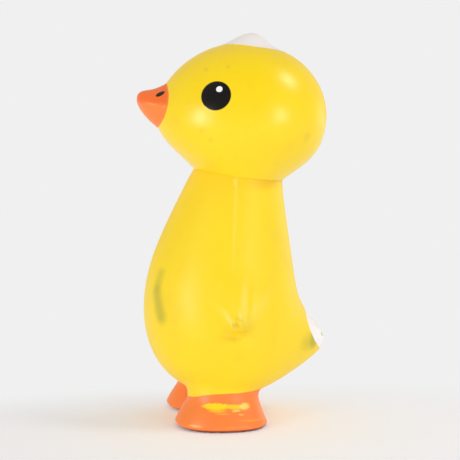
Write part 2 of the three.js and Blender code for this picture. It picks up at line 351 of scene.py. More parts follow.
class PaintGraph(NodeGraph):
    """The node tree of one painted casting, which reads Object coordinates in millimetres."""

    noise_middle: float = 0.5
    dot_core: float = 0.4

    def __init__(self, name: str) -> None:
        """Starts a new material.

        Args:
            name: The material's name.
        """
        self.material = bpy.data.materials.new(name)
        super().__init__(self.material)
        coordinates = self.node("ShaderNodeTexCoord")
        self.place = self.vector("SCALE", coordinates.outputs["Object"], 1 / MM)
        self.x, self.y, self.z = self.split(self.place)
        flank = self.math("ABSOLUTE", self.x)
        self.folded = self.result("ShaderNodeCombineXYZ", {"X": flank, "Y": self.y, "Z": self.z})

    def noise(self, size: float, detail: float = 2.0, stretch: Triple = EVEN) -> Socket:
        """A cloudy value around 0.5.

        Args:
            size: The clouds' size in millimetres.
            detail: How many finer layers it has.
            stretch: How much longer the clouds are along X, Y and Z.

        Returns:
            The value, between 0 and 1.
        """
        scale = tuple(1 / (size * longer) for longer in stretch)
        place = self.result("ShaderNodeMapping", {"Vector": self.place, "Scale": scale})
        return self.result("ShaderNodeTexNoise", {"Vector": place, "Scale": 1.0, "Detail": detail})

    def waver(self, size: float, amount: float, detail: float = 2.0, stretch: Triple = EVEN) -> Socket:
        """A cloudy shift to both sides of 0, by up to half the amount each way."""
        cloud = self.math("SUBTRACT", self.noise(size, detail, stretch), self.noise_middle)
        return self.math("MULTIPLY", cloud, amount)

    def bend(self, value: Socket, amount: float) -> Socket:
        """The departure of a bent line: a value's square, times an amount."""
        return self.math("MULTIPLY", self.math("MULTIPLY", value, value), amount)

    def specks(self, spacing: float, size: float, rarity: float) -> Socket:
        """Sparse dots.

        Args:
            spacing: The dots' mean distance in millimetres.
            size: Their radius in millimetres.
            rarity: The share of them that is left out.

        Returns:
            1 in a dot, 0 elsewhere.
        """
        cells = self.node("ShaderNodeTexVoronoi", {"Vector": self.place, "Scale": 1 / spacing}).outputs
        radius = size / spacing
        dot = self.fade(cells["Distance"], radius * self.dot_core, radius)
        pick = self.result("ShaderNodeSeparateColor", {0: cells["Color"]})
        return self.math("MULTIPLY", dot, self.math("GREATER_THAN", pick, rarity))

    def outside(self, shape: Union[Spot, Streak], side: Side = Side.LEFT) -> Socket:
        """How far out of a spot or a streak the surface lies.

        Args:
            shape: The spot or the streak.
            side: The flanks that have it.

        Returns:
            0 in the middle, 1 on the shape's skin, more outside.
        """
        place = self.folded if side is Side.BOTH else self.place
        if isinstance(shape, Spot):
            return self.out_of(place, shape.centre, shape.radii, tuple(shape.turn.to_euler()))
        along = Vector(shape.end) - Vector(shape.start)
        offset = self.vector("SUBTRACT", place, shape.start)
        share = self.vector("DOT_PRODUCT", offset, tuple(along / along.length_squared))
        share = self.math("MAXIMUM", self.math("MINIMUM", share, 1.0), 0.0)
        line = self.vector("SCALE", tuple(along), share)
        across = self.vector("LENGTH", self.vector("SUBTRACT", offset, line))
        return self.math("DIVIDE", across, shape.radius)

    def blend(self, kind: Blend, *values: Input) -> Socket:
        """The result of a Mix node.

        Args:
            kind: What is mixed.
            values: The share of the second value, the first value and the second.

        Returns:
            The mixture.
        """
        inputs, output = kind.value
        node = self.node("ShaderNodeMix", dict(zip(inputs, values)), data_type=kind.name)
        return node.outputs[output]

    def mix(self, share: Value, under: Value, over: Value) -> Socket:
        """A number between two others."""
        return self.blend(Blend.FLOAT, share, under, over)

    def mix_colour(self, share: Value, under: Union[Socket, Tint], over: Union[Socket, Tint]) -> Socket:
        """A colour between two others."""
        return self.blend(Blend.RGBA, share, under, over)


@dataclass(frozen=True)
class VinylFinish:
    """Satin vinyl with brushed paint: its sheen, paint, unevenness and soil. Lengths in millimetres."""

    sheen: float = 0.36
    sheen_spread: float = 0.07
    paint_sheen: float = 0.38
    gloss_paint_sheen: float = 0.2
    paint_thickness: float = 0.05
    paint_cloud: float = 8.0
    grain: float = 0.9
    grain_depth: float = 0.012
    ripple: float = 5.4
    sway: float = 9.0
    sway_depth: float = 0.05
    cloud: float = 17.0
    cloud_limits: Pair = (0.7, 0.35)
    cloud_strength: float = 0.5
    haze: float = 11.0
    haze_limits: Pair = (0.78, 0.52)
    haze_strength: float = 0.09
    speck_spacing: float = 14.0
    speck_size: float = 0.28
    speck_rarity: float = 0.62
    speck_strength: float = 0.2


class VinylCoat:
    """The layers of colour, sheen and relief of one casting, from the vinyl upwards."""

    def __init__(self, name: str, finish: VinylFinish) -> None:
        """Starts with bare yellow vinyl.

        Args:
            name: The material's name.
            finish: The vinyl's sheen and unevenness.
        """
        self.finish = finish
        self.graph = PaintGraph(name)
        graph = self.graph
        clouds = graph.fade(graph.noise(finish.cloud, detail=3.0), *finish.cloud_limits)
        clouds = graph.math("MULTIPLY", clouds, finish.cloud_strength)
        self.colour = graph.mix_colour(clouds, Tint.YELLOW, Tint.DEEP_YELLOW)
        ripple = graph.noise(finish.ripple, detail=4.0)
        glossier = finish.sheen - finish.sheen_spread
        duller = finish.sheen + finish.sheen_spread
        self.sheen = graph.mix(ripple, glossier, duller)
        grain = graph.math("MULTIPLY", graph.noise(finish.grain), finish.grain_depth)
        sway = graph.math("MULTIPLY", graph.noise(finish.sway, detail=1.0), finish.sway_depth)
        self.relief = graph.math("ADD", grain, sway)

    def orange(self) -> Socket:
        """The cloudy orange of the feet and the beak."""
        clouds = self.graph.noise(self.finish.paint_cloud, detail=3.0)
        return self.graph.mix_colour(clouds, Tint.ORANGE, Tint.DEEP_ORANGE)

    def raise_relief(self, mask: Socket, height: float) -> None:
        """Raises the surface where a mask is 1, by a height in millimetres."""
        raised = self.graph.math("MULTIPLY", mask, height)
        self.relief = self.graph.math("ADD", self.relief, raised)

    def paint(self, mask: Socket, tint: Union[Socket, Tint], sheen: float) -> None:
        """Lays a coat of paint over what is there.

        Args:
            mask: 1 where the paint is.
            tint: Its colour.
            sheen: Its roughness.
        """
        self.colour = self.graph.mix_colour(mask, self.colour, tint)
        self.sheen = self.graph.mix(mask, self.sheen, sheen)
        self.raise_relief(mask, self.finish.paint_thickness)

    def rub_and_highlight(self, mark: Mark) -> None:
        """Wears the paint down to the vinyl, and paints a highlight where the mark's tint is pale.

        Args:
            mark: The place, and its colour: the vinyl below, or a paler painted highlight.
        """
        mask = self.mask(mark)
        self.colour = self.graph.mix_colour(mask, self.colour, mark.tint)
        self.raise_relief(mask, -self.finish.paint_thickness)

    def polish_and_highlight(self, mark: Mark, sheen: float) -> None:
        """Makes a handled ridge glossier, and paints a paler highlight on it.

        Args:
            mark: The ridge's place, and the colour of its painted highlight.
            sheen: Its roughness.
        """
        mask = self.mask(mark)
        self.sheen = self.graph.mix(mask, self.sheen, sheen)
        self.colour = self.graph.mix_colour(mask, self.colour, mark.tint)

    def mask(self, mark: Mark) -> Socket:
        """Where a mark lies.

        Args:
            mark: The mark.

        Returns:
            0 outside the mark, up to its strength inside.
        """
        graph = self.graph
        distance = graph.outside(mark.shape, mark.side)
        if mark.ragged:
            shift = graph.waver(mark.grain, mark.ragged, detail=4.0, stretch=(1.0, mark.brushed, 1.0))
            distance = graph.total(distance, shift)
        return graph.math("MULTIPLY", graph.below(distance, 1.0, mark.softness), mark.strength)

    def stain_and_shade(self, mark: Mark) -> None:
        """Tints the place of a mark: stains, and painted shade."""
        self.colour = self.graph.mix_colour(self.mask(mark), self.colour, mark.tint)

    def soil(self, marks: Iterable[Mark]) -> None:
        """Adds marks, among them stains and painted shade, and the faint soil that handling leaves.

        Args:
            marks: The marks.
        """
        graph = self.graph
        finish = self.finish
        for mark in marks:
            self.stain_and_shade(mark)
        haze = graph.fade(graph.noise(finish.haze, detail=5.0), *finish.haze_limits)
        haze = graph.math("MULTIPLY", haze, finish.haze_strength)
        dots = graph.specks(finish.speck_spacing, finish.speck_size, finish.speck_rarity)
        dots = graph.math("MULTIPLY", dots, finish.speck_strength)
        self.colour = graph.mix_colour(graph.math("MAXIMUM", haze, dots), self.colour, Tint.SOIL)

    def finished(self) -> bpy.types.Material:
        """Joins the layers in a shader.

        Returns:
            The casting's material.
        """
        graph = self.graph
        bump = graph.result("ShaderNodeBump", {"Strength": 1.0, "Distance": MM, "Height": self.relief})
        layers = {"Base Color": self.colour, "Roughness": self.sheen, "Normal": bump}
        graph.show("ShaderNodeOutputMaterial", graph.result("ShaderNodeBsdfPrincipled", layers))
        return graph.material


@dataclass(frozen=True)
class NeckSeam:
    """The flat seam between body and head: its centre and axis, and its half gaps in millimetres."""

    centre: Vector
    axis: Vector
    half_gap: float = 0.15
    closed_half_gap: float = 0.01

    @classmethod
    def from_record(cls) -> "NeckSeam":
        """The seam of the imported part's swivel."""
        joint = frame["joints"][0]
        return cls(Vector(joint["pos_m"]), Vector(joint["axis"]).normalized())

    @property
    def lean(self) -> Matrix:
        """The rotation from the seam's own axes to the figure's."""
        back = Vector((1.0, 0.0, 0.0)).cross(self.axis)
        return Matrix(((1, 0, 0), (0, -back.y, self.axis.y), (0, -back.z, self.axis.z)))

    def local(self, point: Vector) -> Vector:
        """A point in the seam's own axes, in millimetres."""
        return self.lean.transposed() @ ((point - self.centre) / MM)

    def world(self, point: Triple) -> Vector:
        """A point of the seam's own axes, in the figure's frame in metres."""
        return self.centre + self.lean @ Vector(point) * MM


@dataclass(frozen=True)
class NeckReach:
    """How a casting's flat face at the seam is drawn out, so that the seam can be cut cleanly later.

    The reach is along the seam's axis, and faces nearer to the axis than the inner radius stay. The face
    narrows across and from front to back, and moves back. Lengths in millimetres.
    """

    reach: float
    inner: float
    narrow: Pair
    back: float


@dataclass(frozen=True)
class Guard:
    """A place on both flanks whose form is smoothed less than the rest."""

    spot: Spot
    passes: int

    def holds(self, point: Vector) -> bool:
        """True if a point lies in the guarded place."""
        return self.spot.share(on_left(point)) < 1.0


def add_object(name: str, data: bpy.types.ID) -> bpy.types.Object:
    """Adds an object to the scene, at the origin.

    Args:
        name: The object's name.
        data: Its mesh, camera or light.

    Returns:
        The object.
    """
    thing = bpy.data.objects.new(name, data)
    bpy.context.scene.collection.objects.link(thing)
    return thing


def add_mesh(name: str, mesh: bmesh.types.BMesh) -> bpy.types.Object:
    """Adds an object made from a bmesh, which is then freed.

    Args:
        name: The object's name.
        mesh: The bmesh.

    Returns:
        The object.
    """
    data = bpy.data.meshes.new(name)
    mesh.to_mesh(data)
    mesh.free()
    return add_object(name, data)


class CastSkin:
    """A fine, smooth skin made from a copy of a CAD node.

    Points nearer than the weld, in metres, are merged. The flatness, in millimetres, is how far the points
    of the flat face at the seam may be off its level.
    """

    weld: float = 1e-6
    smoothing: float = 0.5
    flatness: float = 0.02

    def __init__(self, node: str) -> None:
        """Copies and merges the node's mesh.

        Args:
            node: The CAD node's name.
        """
        self.mesh = bmesh.new()
        self.mesh.from_mesh(frame["nodes"][node].data)
        bmesh.ops.remove_doubles(self.mesh, verts=self.mesh.verts, dist=self.weld)

    def draw_out(self, seam: NeckSeam, neck: NeckReach) -> None:
        """Draws the flat face at the neck seam out.

        Args:
            seam: The neck seam.
            neck: How far the face is drawn, and how it narrows.
        """
        level = -math.copysign(seam.half_gap, neck.reach)
        across, along = neck.narrow
        for vertex in self.mesh.verts:
            place = seam.local(vertex.co)
            if abs(place.z - level) < self.flatness and math.hypot(place.x, place.y) > neck.inner:
                drawn = (place.x * across, place.y * along + neck.back, place.z + neck.reach)
                vertex.co = seam.world(drawn)

    def remesh(self, voxel: float) -> None:
        """Gives the skin an even fine mesh.

        Args:
            voxel: The mesh's size in millimetres.
        """
        carrier = add_mesh("coarse_skin", self.mesh)
        data = carrier.data
        modifier = carrier.modifiers.new("even", "REMESH")
        modifier.mode = "VOXEL"
        modifier.voxel_size = voxel * MM
        evaluated = carrier.evaluated_get(bpy.context.evaluated_depsgraph_get())
        even = bpy.data.meshes.new_from_object(evaluated)
        self.mesh = bmesh.new()
        self.mesh.from_mesh(even)
        bpy.data.objects.remove(carrier)
        bpy.data.meshes.remove(data)
        bpy.data.meshes.remove(even)

    def smooth(self, passes: int, guards: Iterable[Guard]) -> None:
        """Rounds the skin's creases.

        Args:
            passes: How often it is smoothed.
            guards: The places that are smoothed less.
        """
        guards = list(guards)
        limits = {}
        for vertex in self.mesh.verts:
            held = [guard.passes for guard in guards if guard.holds(vertex.co)]
            limits.setdefault(min(held, default=passes), []).append(vertex)
        for turn in range(passes):
            free = [vertex for limit, group in limits.items() if limit > turn for vertex in group]
            bmesh.ops.smooth_vert(
                self.mesh,
                verts=free,
                factor=self.smoothing,
                use_axis_x=True,
                use_axis_y=True,
                use_axis_z=True,
            )

    def trim(self, point: Vector, outward: Vector) -> None:
        """Cuts the skin flat and closes the cut.

        Args:
            point: A point of the cutting plane.
            outward: The side that is cut away.
        """
        geometry = [*self.mesh.verts, *self.mesh.edges, *self.mesh.faces]
        cut = bmesh.ops.bisect_plane(
            self.mesh, geom=geometry, dist=self.weld, plane_co=point, plane_no=outward, clear_outer=True
        )
        rim = [item for item in cut["geom_cut"] if isinstance(item, bmesh.types.BMEdge)]
        filled = bmesh.ops.triangle_fill(self.mesh, edges=rim, use_beauty=True)
        faces = [item for item in filled["geom"] if isinstance(item, bmesh.types.BMFace)]
        self.mesh.normal_update()
        bmesh.ops.reverse_faces(self.mesh, faces=[face for face in faces if face.normal.dot(outward) < 0])
        for edge in rim:
            edge.smooth = False

    def refine(self, line: Stroke, rows: tuple[float, ...], inner: float) -> None:
        """Cuts rows of points into both flanks, for a narrow ridge there.

        Args:
            line: The ridge.
            rows: The rows' places beside it, in millimetres.
            inner: Skin nearer to the middle plane than this is left alone.
        """
        margin = 2 * max(rows)
        along = (Vector(line.end) - Vector(line.start)).normalized()
        start = Vector((0.0, *line.start))
        across = Vector((0.0, along.y, -along.x))
        for row in rows:
            near = []
            for face in self.mesh.faces:
                centre = face.calc_center_median() / MM
                if abs((centre - start).dot(across)) < margin and abs(centre.x) > inner:
                    near.append(face)
            edges = {edge for face in near for edge in face.edges}
            verts = {vertex for face in near for vertex in face.verts}
            bmesh.ops.bisect_plane(
                self.mesh,
                geom=[*verts, *edges, *near],
                dist=self.weld,
                plane_co=(start + across * row) * MM,
                plane_no=across,
            )

    def divide(self, place: Spot) -> None:
        """Makes the mesh twice as fine in a place on both flanks.

        Args:
            place: The place, on the left.
        """
        near = []
        for face in self.mesh.faces:
            if place.share(on_left(face.calc_center_median())) < 1.0:
                near.append(face)
        edges = list({edge for face in near for edge in face.edges})
        bmesh.ops.subdivide_edges(self.mesh, edges=edges, cuts=1, use_grid_fill=True, smooth=0.0)

    def carve(self, strokes: Iterable[Stroke], inner: float) -> None:
        """Raises and lowers the outer skin of both flanks.

        Args:
            strokes: The ridges and grooves.
            inner: Skin nearer to the middle plane than this is left alone, in millimetres.
        """
        strokes = list(strokes)
        self.mesh.normal_update()
        for vertex in self.mesh.verts:
            outwards = vertex.normal.x * math.copysign(1.0, vertex.co.x)
            if outwards > 0 and abs(vertex.co.x) / MM > inner:
                place = Vector((vertex.co.y, vertex.co.z)) / MM
                height = sum(stroke.height(place) for stroke in strokes)
                vertex.co += vertex.normal * height * MM

    def dish(self, place: Spot, depth: float) -> None:
        """Sinks the skin that faces up in a place.

        Args:
            place: The place.
            depth: How far its middle sinks, in millimetres.
        """
        self.mesh.normal_update()
        for vertex in self.mesh.verts:
            if vertex.normal.z > 0:
                inside = max(1 - place.share(vertex.co) ** 2, 0.0)
                vertex.co.z -= depth * inside**2 * vertex.normal.z * MM

    def lift_toes(self, start: float, end: float, lift: float, fade: float) -> None:
        """Lifts the toes a little off the floor.

        Args:
            start: Where the sole leaves the floor, in millimetres.
            end: Where the lift is full.
            lift: The full lift.
            fade: The height at which it is gone.
        """
        for vertex in self.mesh.verts:
            ahead = clamp((vertex.co.y / MM - start) / (end - start))
            above = clamp(vertex.co.z / MM / fade)
            vertex.co.z += lift * ahead**2 * (1 - above) ** 2 * MM

    def flatten_soles(self, level: float) -> None:
        """Puts the lowest skin flat on the floor.

        Args:
            level: The height below which skin is put there, in millimetres.
        """
        for vertex in self.mesh.verts:
            if vertex.co.z / MM < level:
                vertex.co.z = 0.0

    def finished(self, name: str) -> bpy.types.Object:
        """Makes the skin an object.

        Args:
            name: The piece's name.

        Returns:
            The piece, at the origin.
        """
        for face in self.mesh.faces:
            face.smooth = True
        return add_mesh(name, self.mesh)


def dress(piece: bpy.types.Object, material: bpy.types.Material, body: str) -> None:
    """Gives a piece its material and the body it rides on.

    Args:
        piece: The piece.
        material: Its material.
        body: The CAD body's name.
    """
    piece.data.materials.clear()
    piece.data.materials.append(material)
    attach(piece, body)


def ridge_highlight(shape: Spot, strength: float, softness: float) -> Mark:
    """A painted highlight along a ridge, on both flanks."""
    return Mark(shape, Tint.PALE_YELLOW, strength, softness, side=Side.BOTH)


@dataclass
class BodyCasting:
    """The body with its feet, wings and tail.

    Lengths are in millimetres. A waver is the size of its clouds and its amount.
    """

    seam: NeckSeam
    finish: VinylFinish
    neck: NeckReach = NeckReach(reach=4.0, inner=0.0, narrow=(0.935, 0.935), back=0.75)
    voxel: float = 0.88
    passes: int = 13
    flank: float = 12.0
    mould_line: Stroke = Stroke((-0.9, 105.0), (-4.1, 70.0), (0.22, 0.02), (0.7, 1.1))
    mould_line_rows: tuple[float, ...] = (-1.4, -0.9, -0.45, 0.0, 0.45, 0.9, 1.4)
    wing_field: Spot = Spot((32.0, -1.0, 48.5), (14.0, 13.0, 12.0))
    wing: tuple[Stroke, ...] = (
        Stroke((-11.6, 56.8), (-5.5, 45.8), (0.1, 0.9), (2.2, 1.4)),
        Stroke((-12.8, 51.4), (-6.2, 41.4), (-0.1, -0.5), (1.6, 1.4)),
        Stroke((-4.6, 57.0), (-3.0, 48.0), (-0.2, -0.7), (1.8, 1.2)),
        Stroke((1.4, 65.0), (0.4, 49.4), (0.1, 0.5), (1.9, 1.5)),
        Stroke((4.2, 59.0), (2.4, 48.4), (-0.2, -0.35), (2.0, 1.5)),
        Stroke((9.6, 57.0), (3.4, 45.6), (0.2, 0.5), (2.8, 2.2)),
        Stroke((-1.3, 45.3), (-1.3, 45.3), (0.45, 0.45), (0.9, 0.9)),
        Stroke((-3.9, 44.4), (-3.9, 44.4), (-0.8, -0.8), (0.9, 0.9)),
        Stroke((-1.0, 43.2), (-1.0, 43.2), (-0.6, -0.6), (0.9, 0.9)),
        Stroke((-11.5, 40.8), (-3.5, 39.8), (-0.45, -0.9), (1.5, 1.7)),
        Stroke((-3.5, 39.8), (3.0, 40.2), (-0.5, -0.1), (1.7, 1.5)),
    )
    # Painted highlights along the wing's front edge, crest and back edge, and along the mould line on the
    # neck.
    ridge_highlights: tuple[Mark, ...] = (
        ridge_highlight(Spot((33.0, -6.3, 46.9), (9.0, 0.9, 3.8), (0.0, -0.52, 0.85)), 0.75, 0.8),
        ridge_highlight(Spot((33.0, -0.5, 53.0), (9.0, 1.3, 7.6), (0.0, 0.12, 1.0)), 0.55, 0.8),
        ridge_highlight(Spot((31.0, 6.2, 51.0), (9.0, 2.4, 7.0), (0.0, 0.6, 0.8)), 0.25, 0.9),
        ridge_highlight(Spot((22.0, -2.5, 88.0), (14.0, 0.6, 20.0), (0.0, 0.09, 1.0)), 0.3, 0.6),
        ridge_highlight(Spot((19.0, -1.9, 100.6), (5.0, 0.6, 1.4)), 0.7, 0.7),
    )
    polished_sheen: float = 0.3
    # Painted shade under the wing tip and in the hollow beside its knob, with faint dirt round the knob.
    wing_shade_and_soil: tuple[Mark, ...] = (
        Mark(Spot((33.0, -3.0, 41.4), (9.0, 5.5, 2.6)), Tint.SHADE_YELLOW, 0.35, 0.9, side=Side.BOTH),
        Mark(Spot((33.0, -1.6, 45.2), (9.0, 3.8, 3.0)), Tint.STAIN, 0.15, 0.8, 0.3),
        Mark(Spot((33.0, -3.8, 44.4), (9.0, 0.9, 1.3)), Tint.STAIN, 0.14, 0.7),
    )
    toe_start: float = -15.0
    toe_end: float = -26.5
    toe_lift: float = 1.3
    toe_fade: float = 9.0
    sole_level: float = 0.2
    paint_line: float = 15.35
    paint_line_dip: float = 0.0155
    paint_line_start: float = -8.0
    paint_softness: float = 0.2
    paint_waver: Pair = (7.0, 0.9)
    # Painted contact shade and dirt: full up to the first height, gone at the second.
    shade_and_grime_full: float = 0.75
    shade_and_grime_gone: float = 1.5
    foot_top: float = 11.9
    leg: Spot = Spot((15.5, -6.4, 13.0), (12.6, 16.0, 40.0))
    leg_softness: float = 0.02
    guards: tuple[Guard, ...] = (
        Guard(Spot((16.0, -7.3, 0.0), (20.0, 26.0, 4.0)), 2),
        Guard(Spot((32.0, -2.0, 50.0), (12.0, 19.0, 15.0)), 6),
        Guard(Spot((0.0, 40.0, 33.0), (8.0, 7.0, 8.0)), 6),
    )
    tail_paint_edge: float = 48.2
    tail_paint_rise: float = 0.383
    tail_paint_bend: float = 0.0184
    tail_paint_top: float = 47.5
    tail_paint_softness: float = 0.15
    tail_top_softness: float = 0.3
    tail_waver: Pair = (5.0, 0.5)
    marks: tuple[Mark, ...] = (
        # Painted shade on the neck below the seam, deepest at the back under the head's overhang.
        Mark(Spot((0.0, 3.0, 103.5), (40.0, 40.0, 7.0)), Tint.NECK_SHADE_YELLOW, 0.7, 0.6, side=Side.BOTH),
        Mark(Spot((15.5, 12.0, 100.6), (6.0, 6.5, 2.6)), Tint.SHADE_YELLOW, 0.8, 0.7, side=Side.BOTH),
        Mark(Streak((13.0, -31.6, 63.0), (13.2, -33.0, 58.6), 2.3), Tint.STAIN, 0.44, 0.85, 0.5),
        Mark(Streak((13.5, -33.4, 55.6), (17.3, -32.0, 46.3), 2.7), Tint.STAIN, 0.64, 0.85, 0.5),
        Mark(Spot((11.2, 33.2, 33.0), (3.0, 2.6, 3.2)), Tint.STAIN, 0.68, 0.6, 0.3),
        Mark(Spot((13.4, 30.6, 32.7), (5.0, 4.4, 3.0)), Tint.STAIN, 0.42, 0.9, 0.4),
    )
    tail_speck: Mark = Mark(Spot((4.4, 38.0, 34.4), (0.9, 0.9, 1.0)), Tint.STAIN, 0.8, 0.3)
    # Paint rubbed down to the yellow vinyl on the near foot; the pale marks are painted highlights on the
    # bare vinyl and the lip.
    wear_and_highlights: tuple[Mark, ...] = (
        Mark(Spot((26.6, -11.2, 10.4), (4.0, 5.4, 1.2)), Tint.YELLOW, 1.0, 0.25, 0.9, 0.6, 1.8),
        Mark(
            Spot((27.1, -3.9, 10.1), (4.0, 4.4, 0.8), (0.0, 0.06, 1.0)),
            Tint.YELLOW, 0.85, 0.4, 0.9, 0.6, 1.8,
        ),
        Mark(Spot((26.4, 0.9, 9.9), (4.0, 2.2, 1.25)), Tint.PALE_YELLOW, 0.78, 0.4, 0.9, 0.7, 1.4),
        Mark(Spot((27.6, -10.6, 8.9), (4.0, 3.2, 0.75)), Tint.YELLOW, 0.6, 0.5, 2.2, 0.6, 1.2),
        Mark(Spot((27.9, -2.9, 8.6), (4.0, 1.7, 0.5)), Tint.PALE_YELLOW, 0.6, 0.5, 1.2, 0.6, 1.6),
        Mark(Spot((28.4, -0.9, 7.0), (4.0, 1.2, 0.25), (0.0, 0.2, 1.0)), Tint.PALE_YELLOW, 0.55, 0.5, 0.6),
        Mark(Spot((28.4, -8.2, 7.6), (4.0, 2.4, 0.3)), Tint.PALE_YELLOW, 0.25, 0.6, 1.4, 0.6, 2.0),
        Mark(
            Spot((28.0, 3.6, 4.4), (5.0, 5.4, 0.4), (0.0, 0.1, 1.0)),
            Tint.YELLOW, 0.2, 0.6, 1.6, 0.6, 5.0,
        ),
        Mark(Spot((26.0, -19.4, 2.6), (5.0, 2.2, 0.4)), Tint.PALE_YELLOW, 0.35, 0.7, 0.8, 0.6, 4.0),
        Mark(Spot((26.0, -5.4, 2.4), (5.0, 2.6, 0.4)), Tint.PALE_YELLOW, 0.22, 0.7, 0.8, 0.6, 3.0),
    )

    def build(self) -> bpy.types.Object:
        """Makes the casting's skin.

        Returns:
            The finished piece.
        """
        skin = CastSkin("body")
        skin.draw_out(self.seam, self.neck)
        skin.remesh(self.voxel)
        skin.smooth(self.passes, self.guards)
        skin.flatten_soles(self.sole_level)
        skin.lift_toes(self.toe_start, self.toe_end, self.toe_lift, self.toe_fade)
        skin.trim(self.seam.world((0.0, 0.0, -self.seam.closed_half_gap)), self.seam.axis)
        skin.refine(self.mould_line, self.mould_line_rows, self.flank)
        skin.divide(self.wing_field)
        skin.carve([self.mould_line, *self.wing], self.flank)
        piece = skin.finished("body_casting")
        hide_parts("body")
        dress(piece, self.material(), "body")
        return piece

    def material(self) -> bpy.types.Material:
        """Paints and marks the body's vinyl.

        Returns:
            The material.
        """
        coat = VinylCoat("body_vinyl", self.finish)
        graph = coat.graph
        # Stains, and painted shade on the neck under the head's overhang.
        coat.soil(self.marks)
        # Glossier ridges, with painted highlights on them.
        for mark in self.ridge_highlights:
            coat.polish_and_highlight(mark, self.polished_sheen)
        # Painted shade under the wing tip and beside its knob, with faint dirt round the knob.
        for mark in self.wing_shade_and_soil:
            coat.stain_and_shade(mark)
        coat.paint(self.feet(graph), coat.orange(), self.finish.paint_sheen)
        # Paint rubbed down to the vinyl, with painted highlights where the tint is pale.
        for mark in self.wear_and_highlights:
            coat.rub_and_highlight(mark)
        # Painted contact shade and dirt, darker towards the bottom of the feet.
        shade_and_grime = graph.fade(graph.z, self.shade_and_grime_full, self.shade_and_grime_gone)
        coat.colour = graph.mix_colour(shade_and_grime, coat.colour, Tint.SOLE_SHADE_AND_GRIME)
        coat.paint(self.tail_tip(graph), Tint.WHITE, self.finish.paint_sheen)
        coat.stain_and_shade(self.tail_speck)
        return coat.finished()

    def feet(self, graph: PaintGraph) -> Socket:
        """Where the feet are painted: below a line that dips at the toes, on each leg.

        Args:
            graph: The body's node tree.

        Returns:
            1 where the paint is.
        """
        ahead = graph.math("MINIMUM", graph.math("SUBTRACT", graph.y, self.paint_line_start), 0.0)
        dip = graph.bend(ahead, self.paint_line_dip)
        height = graph.total(graph.z, dip, graph.waver(*self.paint_waver))
        below = graph.below(height, self.paint_line, self.paint_softness)
        on_leg = graph.below(graph.outside(self.leg, Side.BOTH), 1.0, self.leg_softness)
        foot = graph.below(graph.z, self.foot_top, self.paint_softness)
        return graph.math("MAXIMUM", graph.math("MULTIPLY", below, on_leg), foot)

    def tail_tip(self, graph: PaintGraph) -> Socket:
        """Where the tail is painted: behind an edge that bends round its tip.

        Args:
            graph: The body's node tree.

        Returns:
            1 where the paint is.
        """
        rise = graph.math("MULTIPLY", graph.z, self.tail_paint_rise)
        bend = graph.bend(graph.x, self.tail_paint_bend)
        behind = graph.total(graph.y, rise, bend, graph.waver(*self.tail_waver))
        tip = graph.above(behind, self.tail_paint_edge, self.tail_paint_softness)
        below = graph.below(graph.z, self.tail_paint_top, self.tail_top_softness)
        return graph.math("MULTIPLY", tip, below)


